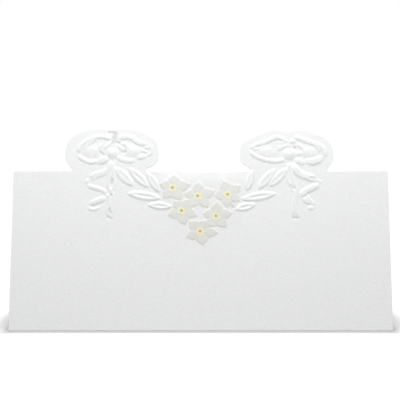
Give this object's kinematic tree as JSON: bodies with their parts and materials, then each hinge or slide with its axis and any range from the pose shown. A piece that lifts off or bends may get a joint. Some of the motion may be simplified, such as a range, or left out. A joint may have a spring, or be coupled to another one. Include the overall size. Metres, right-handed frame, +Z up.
{
  "type": "place card",
  "caption": "Tent-fold place card of pearly white stock, with die-cut tabs and an embossed ribbon bow, leaf garland and flowers across the fold.",
  "frame": {"origin": "on the table under the fold, midway between the two bottom edges and the two ends", "axes": "X along the fold, the embossed front panel faces -Y, Z up"},
  "size_m": [0.1016, 0.0342, 0.0526],
  "materials": {
    "pearl_card": "pearly card stock, blind embossed, with grey petals and gold dots printed on it"
  },
  "bodies": {
    "root": {"folded_card": "pearl_card"}
  },
  "joints": []
}
